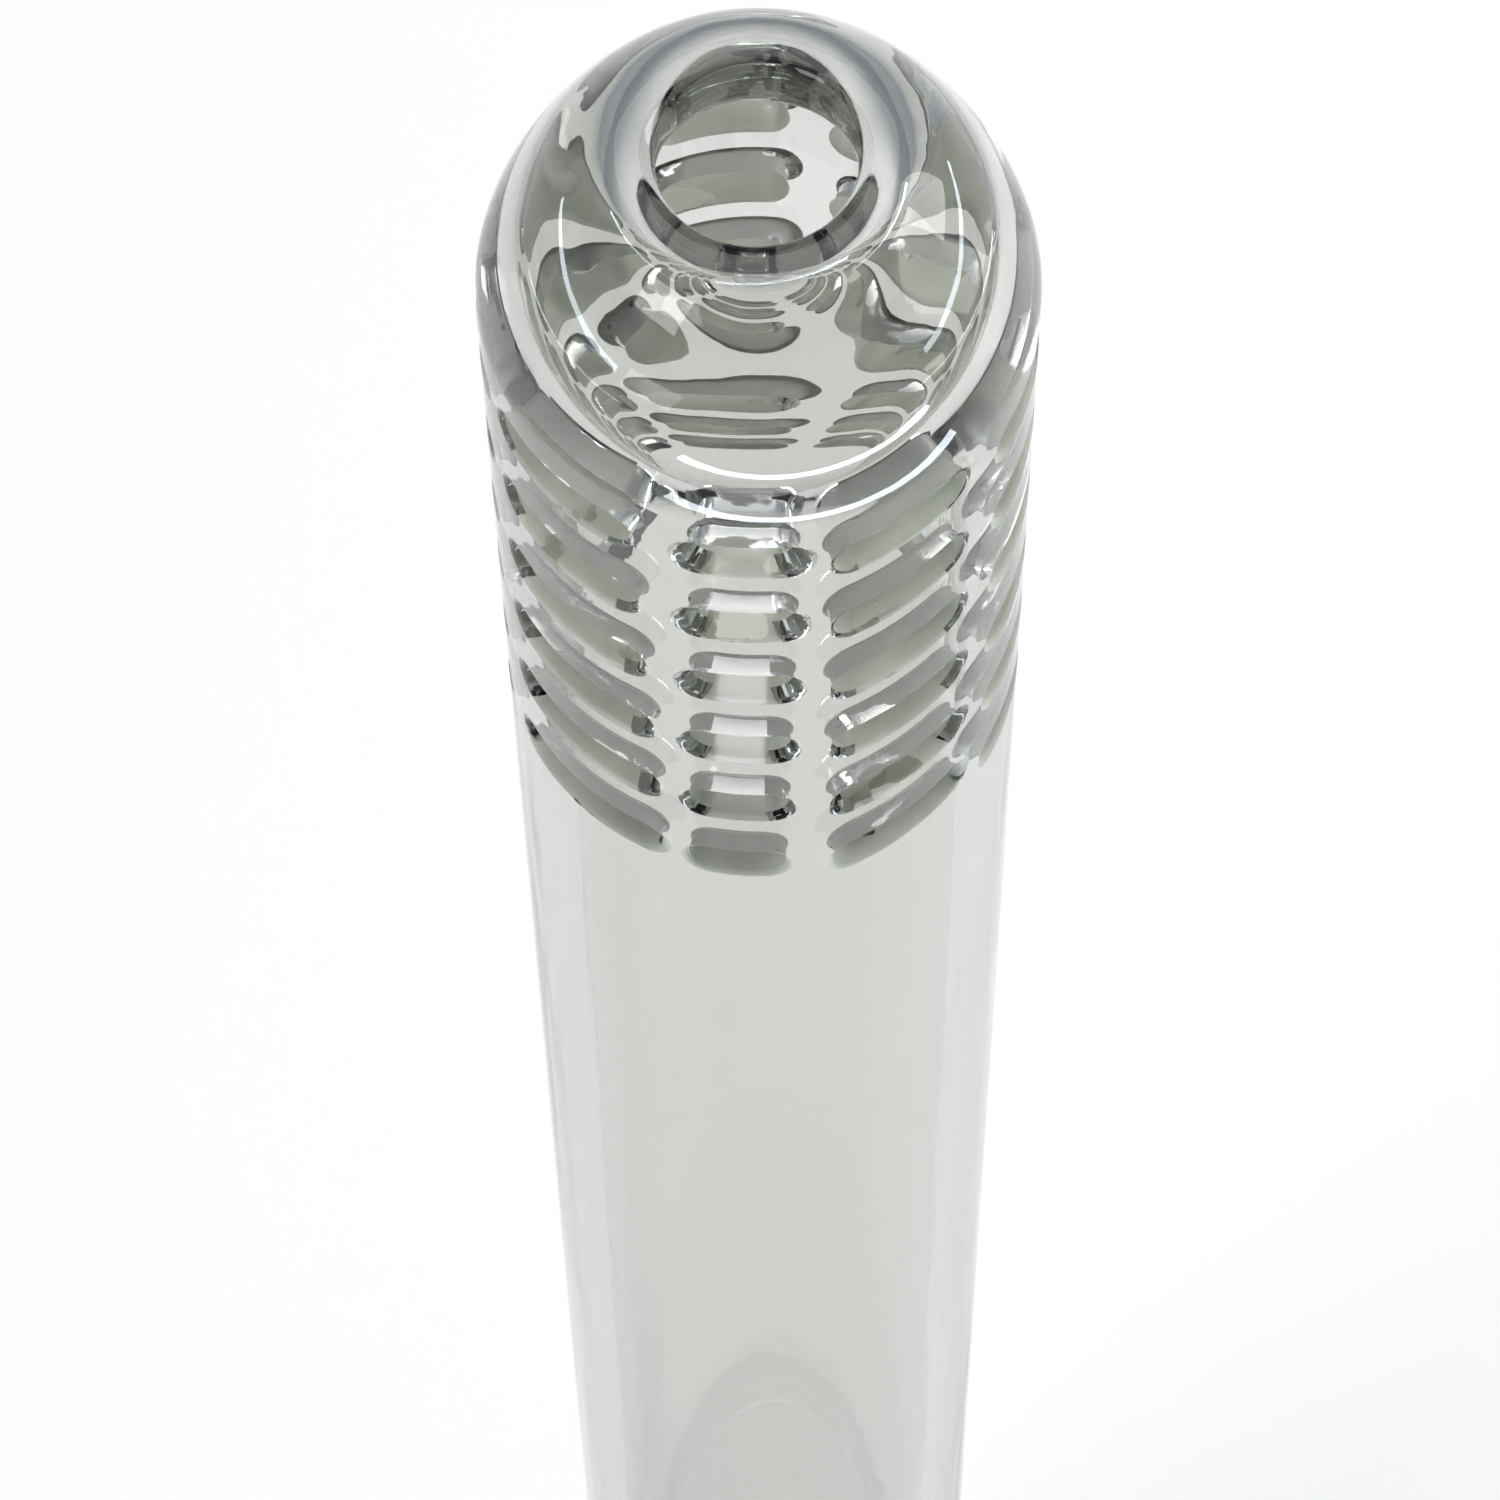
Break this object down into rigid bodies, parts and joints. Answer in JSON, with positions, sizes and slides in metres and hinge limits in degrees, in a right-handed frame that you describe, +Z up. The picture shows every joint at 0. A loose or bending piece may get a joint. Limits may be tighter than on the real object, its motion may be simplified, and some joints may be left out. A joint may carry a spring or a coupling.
{
  "type": "slotted glass diffuser stem",
  "caption": "Clear glass diffuser stem: a tube with a narrowed, rounded tip and rows of sawn slits, on a ground taper joint with a collar.",
  "frame": {"origin": "centre of the collar's flat underside, on the surface that the stem stands on", "axes": "+Z up along the stem's axis towards the slotted tip, -Y towards the side seen in the picture, +X to the right of that side"},
  "size_m": [0.025, 0.025, 0.15],
  "materials": {
    "clear_glass": "fire-polished borosilicate with saw-ground slit faces",
    "ground_glass": "fine-ground taper faces, polished neck and foot",
    "collar_glass": "fire-polished, flat ground underside"
  },
  "bodies": {
    "root": {"slotted_tube": "clear_glass", "ground_joint": "ground_glass", "collar_ring": "collar_glass"}
  },
  "joints": []
}
